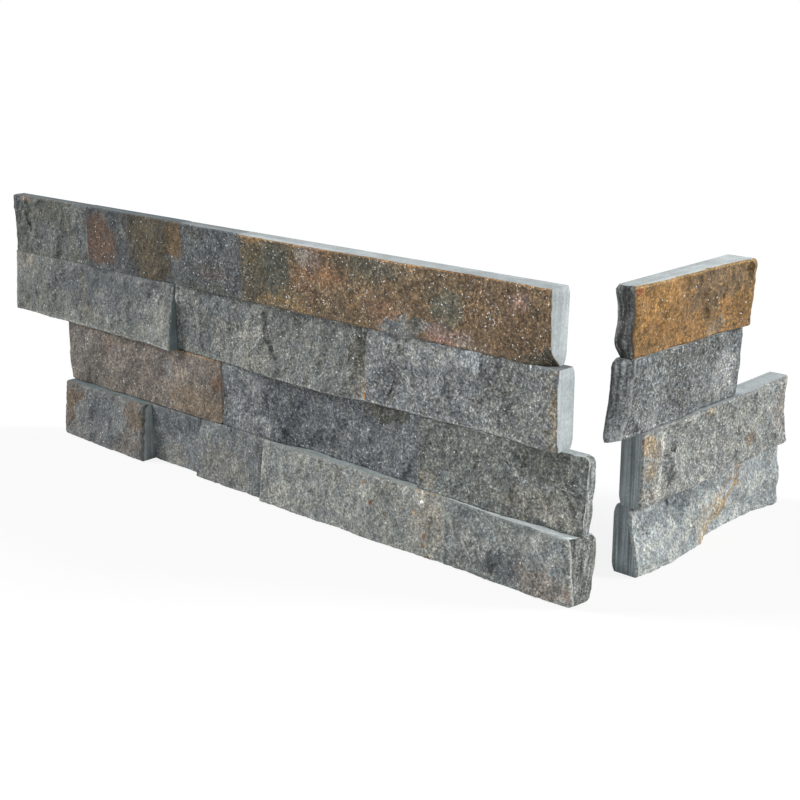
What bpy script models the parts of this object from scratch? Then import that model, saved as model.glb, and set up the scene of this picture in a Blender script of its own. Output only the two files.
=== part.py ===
"""Stone cladding corner: a long and a short panel of split quartzite whose rows finger together.

The long panel faces -Y and the return panel faces +X. They stand on one floor, square to each
other, drawn a little apart the way a pair is laid out before it is bedded round a corner.
"""

import math
from collections import namedtuple

import bmesh
import bpy
from mathutils import Vector, noise

MM = 0.001

# Glue line left between two neighbouring stones
GLUE_LINE = 0.3 * MM

# Heights of the rows of the long panel, top row first
LONG_ROW_HEIGHTS = (37.4 * MM, 39.4 * MM, 38.6 * MM, 35.4 * MM)

# The return's rows lie this much above the long panel's, so that its upper rows pass over the tongues
FINGER_CLEARANCE = 0.3 * MM
RETURN_TOP_ROW_HEIGHT = 35.4 * MM

# Long panel: from its sawn ends at the corner to the far left end of the upper rows
LONG_LEG = 446 * MM
# The lower rows stop short of the upper ones on the left by this step
LONG_STEP = 57 * MM
# The lower rows run past the sawn ends at the corner by this tongue
LONG_TONGUE = 20 * MM
# Own reach of each row at its left and right end, from hand laying, top row first
LONG_LEFT_STAGGER = (-4 * MM, -1 * MM, 0, -1 * MM)
LONG_RIGHT_STAGGER = (0, 3 * MM, -1 * MM, 1.5 * MM)

# Return panel: from the wall corner to the far end of its upper rows
RETURN_LEG = 85 * MM
RETURN_STEP = 59 * MM
RETURN_LEFT_STAGGER = (-3 * MM, -6 * MM, 0, 0)
RETURN_RIGHT_STAGGER = (0, 1 * MM, 0, -3 * MM)
# The upper rows pass the corner far enough to end flush with the long panel's split face
LONG_FACE_DEPTH = 14 * MM
# The lower rows stop this short of the long panel's back
BUTT_CLEARANCE = 1 * MM

# How far the return stands from its fitted place: off the long panel's ends, and behind its back
DRAWN_ASIDE = 2.5 * MM
DRAWN_BACK = 37 * MM

# Facet size of the split faces
CELL = 5 * MM
# Depth of the band behind the split face in which its arris is chipped
ARRIS_BAND = 1.5 * MM
# How far the chipped arris draws in, its spread about that, and the spacing of the chips
ARRIS_WEAR = 0.45 * MM
ARRIS_SPREAD = 0.8
ARRIS_WAVELENGTH = 6 * MM
# The arris draws back this many times as far as it draws in
ARRIS_SET_BACK = 1.3
# Rounding of the rear edges: how far in, and over what height
REAR_BEVEL_IN = 1.6 * MM
REAR_BEVEL_HEIGHT = 5 * MM

# Relief of a split face: wavelength and depth of each layer
RELIEF_LAYERS = ((42 * MM, 1.3 * MM), (17 * MM, 0.9 * MM), (8 * MM, 0.45 * MM))
# Relief of a natural end
END_LAYERS = ((16 * MM, 1.2 * MM), (7 * MM, 0.6 * MM))
# Length over which a natural end's waviness fades into the stone
END_FADE = 14 * MM

# First seed of each panel's relief, and how far the seeds of two rows lie apart
LONG_SEED = 0
RETURN_SEED = 100
ROW_SEEDS = 10
END_SEED = 40

# Panes this close to one plane are joined, in degrees
FLAT_ANGLE = 0.05

# Layers of a stone's skin from the split face to the rear. A number is the share of the way
# from the rear to the arris.
FACE = "face"
ARRIS = "arris"
REAR = "rear"
SKIN_LAYERS = (FACE, ARRIS, 0.7, 0.4, 0.12, REAR)

# Base colour, roughness of each kind of stone
FINISHES = {
    "grey_green": ((0.17, 0.19, 0.17), 0.8),
    "blue_grey": ((0.12, 0.14, 0.155), 0.8),
    "dark_green_grey": ((0.11, 0.13, 0.12), 0.8),
    "rust_patched": ((0.14, 0.12, 0.10), 0.75),
    "rust_brown": ((0.17, 0.12, 0.075), 0.7),
    "taupe": ((0.15, 0.125, 0.11), 0.75),
    "golden_brown": ((0.30, 0.19, 0.09), 0.75),
    "beige_grey": ((0.27, 0.26, 0.24), 0.8),
    "pale_blue_grey": ((0.26, 0.29, 0.31), 0.8),
}

# A stone: its length (None fills the row), the distance of its split face from the panel's rear
# plane at its top left, top right, bottom left and bottom right, and how far its own rear lies
# in front of that plane. Sizes in millimetres.
Stone = namedtuple("Stone", "name length face finish rear marks", defaults=(0, ()))

# Marks on a split face, placed in millimetres from the stone's left end and its underside
Scoop = namedtuple("Scoop", "along up radius_along radius_up depth")
Scarp = namedtuple("Scarp", "along lean drop run bottom top")
# Share of its height over which a scarp dies away at either end
SCARP_FADE = 0.3

# A natural end: how far its corners stand in from the end's furthest reach, in millimetres, at
# the face's top, the face's bottom, the rear's top and the rear's bottom
NaturalEnd = namedtuple("NaturalEnd", "face_top face_bottom rear_top rear_bottom")

LONG_ROWS = (
    (
        Stone("long_row1_a", None, (9.5, 9.5, 8.5, 9.5), "grey_green", 0.5),
        Stone("long_row1_b", 93, (9, 10.5, 9.5, 9), "rust_patched", 0),
        Stone("long_row1_c", 53, (11, 13.5, 9.5, 11), "blue_grey", 1),
        Stone(
            "long_row1_d", 214, (15, 14.5, 11, 12), "rust_brown", 0.6,
            (Scoop(214, -2, 16, 9, 5), Scoop(60, -4, 30, 14, 1.5)),
        ),
    ),
    (
        Stone("long_row2_a", None, (8.5, 9.6, 10.5, 13), "grey_green", 0),
        Stone(
            "long_row2_b", 157, (9.3, 9.6, 9, 13), "grey_green", 1.2,
            (Scoop(100, 4, 62, 26, -4), Scarp(84, 0.35, 1.8, 3, 2, 40)),
        ),
        Stone("long_row2_c", 123, (10, 10.8, 12, 9.8), "blue_grey", 0),
    ),
    (
        Stone(
            "long_row3_a", None, (9, 9, 9, 10), "taupe", 0,
            (Scoop(0, 4, 9, 8, 2),),
        ),
        Stone(
            "long_row3_b", 153.5, (8.8, 9.5, 8.5, 8), "blue_grey", 0.5,
            (Scoop(75, 0, 34, 13, 3), Scoop(107, 0, 5, 6, 2.5)),
        ),
        Stone(
            "long_row3_c", 103, (9, 8.5, 12.5, 10), "dark_green_grey", 1,
            (Scoop(50, 8, 45, 16, -2.5),),
        ),
    ),
    (
        Stone("long_row4_a", None, (14, 15.2, 17.5, 19.6), "taupe", 0),
        Stone("long_row4_b", 45, (10, 9.5, 10, 10), "blue_grey", 0.8),
        Stone("long_row4_c", 58.5, (8.8, 8.3, 14, 14), "blue_grey", 0),
        Stone(
            "long_row4_d", 136.5, (12, 12.3, 17, 13), "grey_green", 0.4,
            (Scoop(40, 8, 30, 18, -2), Scarp(66, -0.3, -0.8, 4, -10, 46)),
        ),
        Stone("long_row4_e", 85.5, (12.8, 17.5, 13.6, 13.5), "blue_grey", 0),
    ),
)

RETURN_ROWS = (
    (
        Stone(
            "return_row1", None, (18, 23.5, 16, 20.5), "golden_brown", 6,
            (Scoop(36, 2, 10, 8, 1.5),),
        ),
    ),
    (Stone("return_row2", None, (17.5, 18, 16, 16), "blue_grey", 5.5),),
    (
        Stone(
            "return_row3", None, (15.7, 15.5, 17.5, 17), "beige_grey", 2.5,
            (Scarp(21, 0.3, 0.9, 3, -10, 50),),
        ),
    ),
    (
        Stone(
            "return_row4", None, (9.7, 14, 16.5, 15), "pale_blue_grey", 0,
            (Scarp(62, 0, 4.5, 3, -4, 13), Scoop(30, 2, 34, 20, -2), Scoop(142, 2, 46, 13, -4)),
        ),
    ),
)

# Natural ends, by stone: the tongues of the long panel and the passing ends of the return
RIGHT_NATURAL = {
    "long_row3_c": NaturalEnd(5, 5, 0, 1.5),
    "long_row4_e": NaturalEnd(7, 5, 0, 3),
}
LEFT_NATURAL = {
    "return_row1": NaturalEnd(0, 5, 1, 6),
    "return_row2": NaturalEnd(5.5, 0, 6, 0),
}


def clear_scene():
    for old in list(bpy.data.objects):
        bpy.data.objects.remove(old)


def stone_material(finish):
    """One material for each kind of stone, shared by the stones that have it."""
    if finish in bpy.data.materials:
        return bpy.data.materials[finish]
    colour, roughness = FINISHES[finish]
    material = bpy.data.materials.new(finish)
    material.use_nodes = True
    shader = material.node_tree.nodes["Principled BSDF"]
    shader.inputs["Base Color"].default_value = (*colour, 1)
    shader.inputs["Roughness"].default_value = roughness
    shader.inputs["Metallic"].default_value = 0
    return material


def layered_noise(layers, place, seed):
    """Sum of smooth noise layers, each with its own wavelength and depth."""
    total = 0
    for number, (wavelength, depth) in enumerate(layers):
        offset = Vector((seed * 7.31, number * 19.7, seed * 3.17))
        total += depth * noise.noise(place / wavelength + offset)
    return total


def smooth_step(value):
    value = min(max(value, 0), 1)
    return value * value * (3 - 2 * value)


def mark_depth(mark, along, up):
    """How far one mark changes the split face, at a point given in metres on the stone."""
    if isinstance(mark, Scoop):
        across = (along - mark.along * MM) / (mark.radius_along * MM)
        rise = (up - mark.up * MM) / (mark.radius_up * MM)
        return -mark.depth * MM * smooth_step(1 - math.hypot(across, rise))
    span = (mark.top - mark.bottom) * MM
    rise = (up - mark.bottom * MM) / span
    line = mark.along * MM - mark.lean * rise * span
    within = smooth_step(rise / SCARP_FADE) * smooth_step((1 - rise) / SCARP_FADE)
    return -mark.drop * MM * within * smooth_step((along - line) / (mark.run * MM))


def even_stops(length):
    """Even steps along a side, as shares of it."""
    count = max(2, round(length / CELL))
    return [number / count for number in range(count + 1)]


def bevelled_stops(height):
    """Steps up a stone, as shares of its height, closer where the rear's edges are rounded."""
    bevel = REAR_BEVEL_HEIGHT / height
    count = max(2, round(height / CELL)) - 2
    inner = [bevel + (1 - 2 * bevel) * number / count for number in range(1, count)]
    return [0, bevel / 2, bevel, *inner, 1 - bevel, 1 - bevel / 2, 1]


class StoneSkin:
    """The closed skin of one stone: a split face, sawn beds and ends, and a plain rear."""

    def __init__(self, stone, left, right, bottom, top, seed):
        self.stone = stone
        self.corner = Vector((left, 0, bottom))
        self.length = right - left
        self.height = top - bottom
        self.seed = seed
        self.columns = even_stops(self.length)
        self.levels = bevelled_stops(self.height)
        self.last_column = len(self.columns) - 1
        self.last_level = len(self.levels) - 1
        self.skin = bmesh.new()

    def face_depth(self, along, up):
        """Distance of the split face from the panel's rear plane."""
        top_left, top_right, bottom_left, bottom_right = self.stone.face
        right = along / self.length
        low = bottom_left + (bottom_right - bottom_left) * right
        high = top_left + (top_right - top_left) * right
        depth = (low + (high - low) * up / self.height) * MM
        depth += layered_noise(RELIEF_LAYERS, Vector((along, 0, up)), self.seed)
        return depth + sum(mark_depth(mark, along, up) for mark in self.stone.marks)

    def rear_depth(self, up):
        """Distance of the stone's rear from the panel's rear plane, with its edges rounded."""
        edge = min(up, self.height - up) / REAR_BEVEL_HEIGHT
        return self.stone.rear * MM + REAR_BEVEL_IN * max(0, 1 - edge) ** 2

    def end_inset(self, end, depth_share, depth, up):
        """How far a natural end stands in from its furthest reach."""
        low = end.rear_bottom + (end.face_bottom - end.rear_bottom) * depth_share
        high = end.rear_top + (end.face_top - end.rear_top) * depth_share
        reach = sum(layer_depth for _, layer_depth in END_LAYERS)
        rough = (layered_noise(END_LAYERS, Vector((0, depth, up)), self.seed + END_SEED) + reach) / 2
        return (low + (high - low) * up / self.height) * MM + rough

    def end_shift(self, along, depth_share, depth, up):
        """How far a point near a natural end is drawn along the stone."""
        shift = 0
        if self.stone.name in LEFT_NATURAL:
            fade = max(0, 1 - along / END_FADE)
            shift += fade * self.end_inset(LEFT_NATURAL[self.stone.name], depth_share, depth, up)
        if self.stone.name in RIGHT_NATURAL:
            fade = max(0, 1 - (self.length - along) / END_FADE)
            shift -= fade * self.end_inset(RIGHT_NATURAL[self.stone.name], depth_share, depth, up)
        return shift

    def arris_shift(self, column, level, along, up):
        """How far the chipped arris draws in at a point of the split face's rim."""
        inward = (column == 0) - (column == self.last_column)
        upward = (level == 0) - (level == self.last_level)
        if not (inward or upward):
            return Vector()
        place = Vector((along, up, 0)) / ARRIS_WAVELENGTH + Vector((self.seed, 5, 9))
        wear = ARRIS_WEAR * (1 + ARRIS_SPREAD * noise.noise(place))
        return wear * Vector((inward, ARRIS_SET_BACK, upward))

    def point(self, column, level, layer):
        """A point of one layer of the skin."""
        along = self.columns[column] * self.length
        up = self.levels[level] * self.height
        front = self.face_depth(along, up)
        rear = self.rear_depth(up)
        band = front - ARRIS_BAND
        known = {FACE: front, ARRIS: band, REAR: rear}
        depth = known[layer] if layer in known else rear + (band - rear) * layer
        shift = self.end_shift(along, (depth - rear) / (front - rear), depth, up)
        place = self.corner + Vector((along + shift, -depth, up))
        if layer == FACE:
            place += self.arris_shift(column, level, along, up)
        return self.skin.verts.new(place)

    def rim(self):
        """Places round the edge of a sheet, in order."""
        places = [(column, 0) for column in range(self.last_column)]
        places += [(self.last_column, level) for level in range(self.last_level)]
        places += [(column, self.last_level) for column in range(self.last_column, 0, -1)]
        places += [(0, level) for level in range(self.last_level, 0, -1)]
        return places

    def add_sheet(self, layer):
        """The grid of the split face or of the rear. Returns its vertices by place."""
        sheet = {
            (column, level): self.point(column, level, layer)
            for column in range(self.last_column + 1)
            for level in range(self.last_level + 1)
        }
        for column in range(self.last_column):
            for level in range(self.last_level):
                ring = ((column, level), (column + 1, level), (column + 1, level + 1), (column, level + 1))
                self.skin.faces.new([sheet[place] for place in ring])
        return sheet

    def add_sides(self, sheets):
        """The beds and ends: bands of panes between the rims of the layers."""
        rings = []
        for layer in SKIN_LAYERS:
            sheet = sheets.get(layer)
            rings.append([sheet[place] if sheet else self.point(*place, layer) for place in self.rim()])
        for near, far in zip(rings, rings[1:]):
            for index, vertex in enumerate(near):
                before = index - 1
                self.skin.faces.new((vertex, near[before], far[before], far[index]))

    def mesh(self):
        sheets = {layer: self.add_sheet(layer) for layer in (FACE, REAR)}
        self.add_sides(sheets)
        bmesh.ops.dissolve_limit(
            self.skin,
            angle_limit=math.radians(FLAT_ANGLE),
            verts=self.skin.verts,
            edges=self.skin.edges,
        )
        bmesh.ops.recalc_face_normals(self.skin, faces=self.skin.faces)
        mesh = bpy.data.meshes.new(self.stone.name)
        self.skin.to_mesh(mesh)
        self.skin.free()
        return mesh


def lay_row(panel, stones, left, right, bottom, top, seed):
    """Lays a row's stones between its ends, each a glue line from the next."""
    fixed = sum(stone.length * MM for stone in stones if stone.length)
    joints = GLUE_LINE * (len(stones) - 1)
    spare = right - left - fixed - joints
    at = left
    for number, stone in enumerate(stones):
        length = stone.length * MM if stone.length else spare
        mesh = StoneSkin(stone, at, at + length, bottom, top, seed + number).mesh()
        mesh.materials.append(stone_material(stone.finish))
        block = bpy.data.objects.new(stone.name, mesh)
        bpy.context.scene.collection.objects.link(block)
        block.parent = panel
        at += length + GLUE_LINE


def row_tops(heights):
    """Top of each row, top row first, standing on the floor."""
    return [sum(heights[row:]) for row in range(len(heights))]


def row_beds(tops):
    """Underside and top of each row: a glue line over the row below, the last on the floor."""
    undersides = [top + GLUE_LINE for top in tops[1:]] + [0]
    return zip(undersides, tops)


def new_empty(name, parent=None):
    empty = bpy.data.objects.new(name, None)
    bpy.context.scene.collection.objects.link(empty)
    empty.parent = parent
    return empty


def build_long_panel(root):
    panel = new_empty("long_panel", root)
    for row, (bottom, top) in enumerate(row_beds(row_tops(LONG_ROW_HEIGHTS))):
        lower = row > 1
        left = (LONG_STEP if lower else 0) - LONG_LEG - LONG_LEFT_STAGGER[row]
        right = (LONG_TONGUE if lower else 0) + LONG_RIGHT_STAGGER[row]
        lay_row(panel, LONG_ROWS[row], left, right, bottom, top, LONG_SEED + ROW_SEEDS * row)


def build_return_panel(root):
    """The return is laid out like the long panel, then turned to face +X and drawn aside."""
    panel = new_empty("return_panel", root)
    panel.rotation_euler.z = math.pi / 2
    panel.location = (DRAWN_ASIDE, DRAWN_BACK, 0)
    tops = [top + FINGER_CLEARANCE for top in row_tops(LONG_ROW_HEIGHTS)[1:]]
    tops.insert(0, tops[0] + RETURN_TOP_ROW_HEIGHT)
    for row, (bottom, top) in enumerate(row_beds(tops)):
        lower = row > 1
        left = (BUTT_CLEARANCE if lower else -LONG_FACE_DEPTH) + RETURN_LEFT_STAGGER[row]
        right = RETURN_LEG + (RETURN_STEP if lower else 0) + RETURN_RIGHT_STAGGER[row]
        lay_row(panel, RETURN_ROWS[row], left, right, bottom, top, RETURN_SEED + ROW_SEEDS * row)


def centre_on_base(root):
    """Moves the whole so that the middle of its footprint is the origin."""
    bpy.context.view_layer.update()
    corners = [
        block.matrix_world @ vertex.co
        for block in bpy.data.objects
        if block.type == "MESH"
        for vertex in block.data.vertices
    ]
    for axis in (0, 1):
        places = [corner[axis] for corner in corners]
        root.location[axis] = -(min(places) + max(places)) / 2


clear_scene()
root = new_empty("cladding_corner")
build_long_panel(root)
build_return_panel(root)
centre_on_base(root)
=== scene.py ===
"""Looks of the stone cladding corner: split quartzite stones with sawn beds on a plain pale floor."""

import math
from collections import namedtuple

import bpy
import numpy as np
from mathutils import Matrix, Vector
from mathutils.bvhtree import BVHTree


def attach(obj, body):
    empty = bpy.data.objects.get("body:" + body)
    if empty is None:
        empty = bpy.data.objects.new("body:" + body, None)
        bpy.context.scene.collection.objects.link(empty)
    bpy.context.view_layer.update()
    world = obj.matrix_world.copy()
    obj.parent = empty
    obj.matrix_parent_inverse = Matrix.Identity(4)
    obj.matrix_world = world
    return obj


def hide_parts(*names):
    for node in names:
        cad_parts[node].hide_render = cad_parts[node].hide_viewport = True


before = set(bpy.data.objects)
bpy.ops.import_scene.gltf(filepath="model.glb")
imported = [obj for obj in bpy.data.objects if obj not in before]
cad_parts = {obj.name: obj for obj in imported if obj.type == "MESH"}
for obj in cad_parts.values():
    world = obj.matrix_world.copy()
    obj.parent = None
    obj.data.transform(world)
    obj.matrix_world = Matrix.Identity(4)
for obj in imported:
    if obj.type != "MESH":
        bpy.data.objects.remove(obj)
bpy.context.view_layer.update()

MM = 0.001

# Camera at the photograph's viewing angle
CAMERA_PLACE = (0.5678, -0.5830, 0.2795)
CAMERA_YAW = 0.746
CAMERA_PITCH = 0.290
CAMERA_ROLL = -0.003
CAMERA_LENS = 62.25
CAMERA_SENSOR = 36
CAMERA_NEAR = 0.01
CAMERA_FAR = 50

# Light from all round, and soft lamps: the way to each, how wide it looks in degrees, its strength
WORLD_LIGHT = 0.3
LAMPS = {
    "left_key": ((-0.7, -0.45, 0.55), 20, 1.0),
    "right_rim": ((0.62, 0.5, 0.45), 20, 1.03),
}
# The floor's size and height in metres, its colour, and how white the camera sees it at least
FLOOR_SIZE = 12
FLOOR_HEIGHT = -0.0002
FLOOR_COLOUR = (0.8, 0.8, 0.8)
FLOOR_WHITE = 0.86

# Lengths below are in millimetres. Spacing of the points of a split face, and how many of them one
# step of the rear takes
PITCH = 0.55
REAR_STEP = 4
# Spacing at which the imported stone's split face is read, and how far inside its chipped arris
READ_PITCH = 2.0
READ_INSET = 1.6
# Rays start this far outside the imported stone, and its split face is at most this far behind the
# middle of its depth
RAY_START = 5
FACE_BEHIND = 3
# At how many heights its rear is read, and how far inside its edges
REAR_READS = 24
REAR_INSET = 0.05
# The split face turns into a natural end within this distance, where it falls back by more than the
# spacing of the readings
ARRIS_SEARCH = 14
ARRIS_STEP = 0.4
# Shares of the depth at which a natural end is read, how far inside its edges, and how far in it
# may lie
END_SHARES = np.linspace(0.1, 0.96, 9)
END_INSET = 0.3
END_SEARCH = 17

# Each stone's skin stands this far out of its packed one, so that the glue lines look thin
JOINT_FILL = 0.12
# Shares of the depth at which the rings of points round a stone lie, from its face to its rear
SAWN_RINGS = (0, 0.05, 0.14, 0.4, 0.75)
NATURAL_RINGS = tuple(number / 20 for number in range(19))
# All of the rear counts as lying this far behind the face
REAR_BEHIND = 20.0
# Faces that meet at more degrees than this meet in a sharp edge
SHARP_ANGLE = 50
# Material slots of a stone's faces, after its split face's
BED_SLOT = 1
END_SLOT = 2
NATURAL_SLOT = 3
# Share of the depth that a chipped corner reaches, and the share of its radius that is left there
CHIP_REACH = 0.7
CHIP_LEFT = 0.05

# Layers of fine relief on a split face and on a natural end: wavelength and height
FINE_LAYERS = ((5.5, 0.26), (2.6, 0.22), (1.3, 0.15))
END_LAYERS = ((7, 0.55), (3.1, 0.32), (1.4, 0.16))
# Flake scars: the size of their pattern, and the share of the stone's flake height, of each layer
FLAKE_LAYERS = ((14, 1.0), (6, 0.45))
# How hollow a flake scar is, how much it leans, and how much one may lie higher than another
SCAR_BOWL = 0.6
SCAR_LEAN = 1.6
SCAR_LIFT = 0.5
# How far, and over which wavelength, the flake scars and the line of a step wander
FLAKE_WANDER = (2.2, 6)
STEP_WANDER = (0.8, 3.5)
# Width over which the face drops at a step
STEP_WIDTH = 0.8
# Wavelengths of the wear and of the chips along an edge
WEAR_WAVE = 3
CHIP_WAVE = 8
# Fine relief is lower within this distance of an edge
CALM_EDGE = 3
# An edge rounded at least this much stands free and is worn pale. How pale, and how far in other
# edges count as being from a free one
FREE_ARRIS = 0.45
WORN = 0.3
FAR_IN = 9
# A natural end: steps over its depth, its depth and the rounding of its rear edge, how strong its
# fine relief and that rounding are, and how strong its flecks are and how many crystals get painted glints
END_COLUMNS = 40
END_DEPTH = 14
END_ROUND = 3
END_ROUGH = 0.8
END_WORN = 0.4
END_FLECKS = 0.2
END_SPARKLE = 0.05

# Sizes of the patterns in the stone, and the share by which a split face's are drawn out along
# their lean
CLOUD = 20
MOTTLE = 5.5
GRAIN = 1.3
MINERAL = 2
FLECK = 0.95
SPECK = 0.85
CRYSTAL_SIZE = 0.55
CRYSTAL_CLUSTER = 12
GRAIN_STRETCH = 0.87
# Near and far waves that break up the border of a mark, and how far each moves it
NEAR_WAVE = 2.2
FAR_WAVE = 10
VEIN_WANDER = 2.5
PATCH_WANDER = (5, 16)
# A patch smaller than this is a spot with a plain border
SPOT = 3
# How much more or less light each pattern makes the colour of a split face, in stops
CLOUD_STOPS = 1.3
MOTTLE_STOPS = 1.9
GRAIN_STOPS = 3.4
# The fine relief's painted light and shade: its ridges lighter and its hollows darker, in stops
RELIEF_SHADE_STOPS = 0.6
# Where in their noise the pale and dark minerals and flecks begin and are full
PALE_MINERALS = (0.57, 0.69)
DARK_MINERALS = (0.43, 0.32)
PALE_FLECKS = (0.60, 0.70)
DARK_FLECKS = (0.41, 0.31)
# Shine, and strength and height of the bump, of split and of sawn stone
SPLIT_SHINE = 0.35
SPLIT_BUMP = (1.0, 0.42)
SAWN_SHINE = 0.15
SAWN_BUMP = (0.5, 0.15)
# How far the patterns of each stone are moved, by its seed, and those of minerals, flecks and
# crystals besides
SEED_SHIFT = (1.7, 0, 0.9)
MINERAL_SHIFT = (3, 17, 29)
FLECK_SHIFT = (40, 9, 3)
CRYSTAL_SHIFT = (7, 31, 5)

# Sawn surfaces: pale and dusty, or darker where little dust lies. The darkest, blue one is partly painted
# shade, given to beds that lie in shade between the rows
SAWN_PALE = (0.37, 0.405, 0.412)
SAWN_GREY = (0.29, 0.32, 0.33)
SAWN_BLUE_SHADED = (0.09, 0.107, 0.113)

# How a stone looks. Its body colour and the colours of its pale and dark grains are as the stone
# would measure; streak is the lean of its mottling from upright in degrees, flecks how strong its
# pale and dark grains are, sparkle how many crystals get painted glints. Arris is the rounding of its left,
# right, bottom and top edge and flakes the height of its flake scars. Corners are the rounded
# corners of its outline: side (-1 left, 1 right), level (0 bottom, 1 top) and radius, and chips
# are such corners that don't reach the rear. Leans are its ends that aren't plumb: side, and how
# far the end stands out past the imported one at its foot and at its top. Bed is the colour of its
# sawn beds and rear, end that of its sawn ends and how strongly their layers show, and natural is
# how its natural end looks, where it has one.
Look = namedtuple(
    "Look",
    "body pale dark flecks arris flakes streak sparkle marks shape corners chips leans bed end natural",
    defaults=(0, 0.15, (), (), (), (), (), SAWN_PALE, (SAWN_PALE, 0.8), None),
)
# Marks on a split face, placed from the stone's left end and its underside
Patch = namedtuple("Patch", "along up wide high colour strength", defaults=(0.8,))
Vein = namedtuple("Vein", "along up to_along to_up wide colour strength", defaults=(0.8,))
# Shapes on a split face, placed the same way. Along a step's line the face on its right drops,
# and comes back over the run; a swell rises by its height.
Step = namedtuple("Step", "along up to_along to_up drop run")
Swell = namedtuple("Swell", "along up radius_along radius_up height")
# A natural end: its side, body colour, the colours of pale and dark layers, of the edge to the
# split face and of bands that run up the end, each band with its depth behind the face and its
# half width. Edge_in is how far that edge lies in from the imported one, and reach how far the end
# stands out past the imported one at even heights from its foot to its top.
Natural = namedtuple("Natural", "side body pale dark edge bands edge_in reach")
Band = namedtuple("Band", "depth wide colour strength")

# Colours of stains, minerals and cracks. The crack colour also paints shade along a step, and pale grey
# paints light beside one
RUST_RED = (0.18, 0.095, 0.06)
RUST_ORANGE = (0.30, 0.165, 0.07)
RUST_BROWN = (0.15, 0.10, 0.055)
BEIGE = (0.27, 0.245, 0.20)
PALE_GREY = (0.31, 0.32, 0.305)
BLUE_GREY = (0.135, 0.15, 0.155)
DARK_BLUE = (0.075, 0.085, 0.095)
DARK_OLIVE = (0.06, 0.058, 0.042)
DARK_GREEN = (0.085, 0.092, 0.078)
PINK = (0.27, 0.185, 0.16)
CRACK_AND_STEP_SHADE = (0.02, 0.022, 0.02)
# Near white, painted on glittering crystals as glints
CRYSTAL_GLINT = (0.88, 0.88, 0.86)
# What the mottling multiplies a colour by where it is cool and where it is warm
COOL_TINT = (0.98, 1.0, 1.03)
WARM_TINT = (1.03, 1.0, 0.95)

LOOKS = {}
LOOKS["long_row1_a"] = Look(
    (0.09, 0.095, 0.087), (0.16, 0.167, 0.155), (0.044, 0.048, 0.044),
    streak=10, flecks=0.5, arris=(1.2, 0.1, 0.1, 0.6), flakes=1.0,
    corners=((-1, 1, 3),), leans=((-1, 1, 0),), bed=(0.068, 0.081, 0.086),
    shape=(Step(17, 14, 13, 27, 0.9, 7), Swell(81, 28, 14, 40, -0.7)),
    marks=(
        Patch(4, 33, 7, 7, DARK_BLUE), Patch(13, 34, 4, 3, PINK, 0.6),
        Patch(35, 12, 22, 10, BLUE_GREY, 0.5), Patch(74, 22, 10, 18, BLUE_GREY, 0.6),
        Patch(50, 30, 26, 9, (0.121, 0.126, 0.102), 0.5), Vein(13, 26, 17, 14, 0.7, CRACK_AND_STEP_SHADE),
        Patch(18, 2, 1.2, 1.2, CRACK_AND_STEP_SHADE),
    ),
)
LOOKS["long_row1_b"] = Look(
    (0.055, 0.062, 0.066), (0.112, 0.126, 0.132), (0.026, 0.031, 0.033),
    sparkle=0.15, flecks=0.4, arris=(0.1, 0.1, 0.2, 0.5), flakes=0.5,
    bed=(0.075, 0.09, 0.096),
    shape=(Swell(0, 28, 16, 42, 1.1),),
    marks=(
        Patch(11, 18, 20, 16, (0.084, 0.052, 0.035), 1), Patch(18, 8, 12, 6, (0.108, 0.062, 0.041), 0.5),
        Patch(36, 25, 4, 4, PALE_GREY, 0.4), Patch(66, 26, 27, 22, (0.066, 0.054, 0.033), 1),
        Patch(66, 7, 18, 10, (0.074, 0.058, 0.034), 0.95), Patch(88, 26, 9, 14, (0.12, 0.077, 0.037), 0.9),
        Patch(88, 8, 9, 9, (0.095, 0.105, 0.108), 0.85), Patch(28, 1, 26, 4, (0.1, 0.112, 0.115), 0.7),
    ),
)
LOOKS["long_row1_c"] = Look(
    (0.078, 0.087, 0.091), (0.152, 0.167, 0.175), (0.032, 0.037, 0.041),
    flecks=0.8, arris=(0.1, 0.1, 0.5, 0.5), flakes=0.6,
    bed=(0.16, 0.18, 0.186),
    marks=(
        Patch(28, 12, 18, 5, RUST_RED, 0.2), Patch(28, 1, 36, 4, DARK_OLIVE, 0.6),
        Patch(12, 33, 10, 5, DARK_OLIVE, 0.4),
    ),
)
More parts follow.
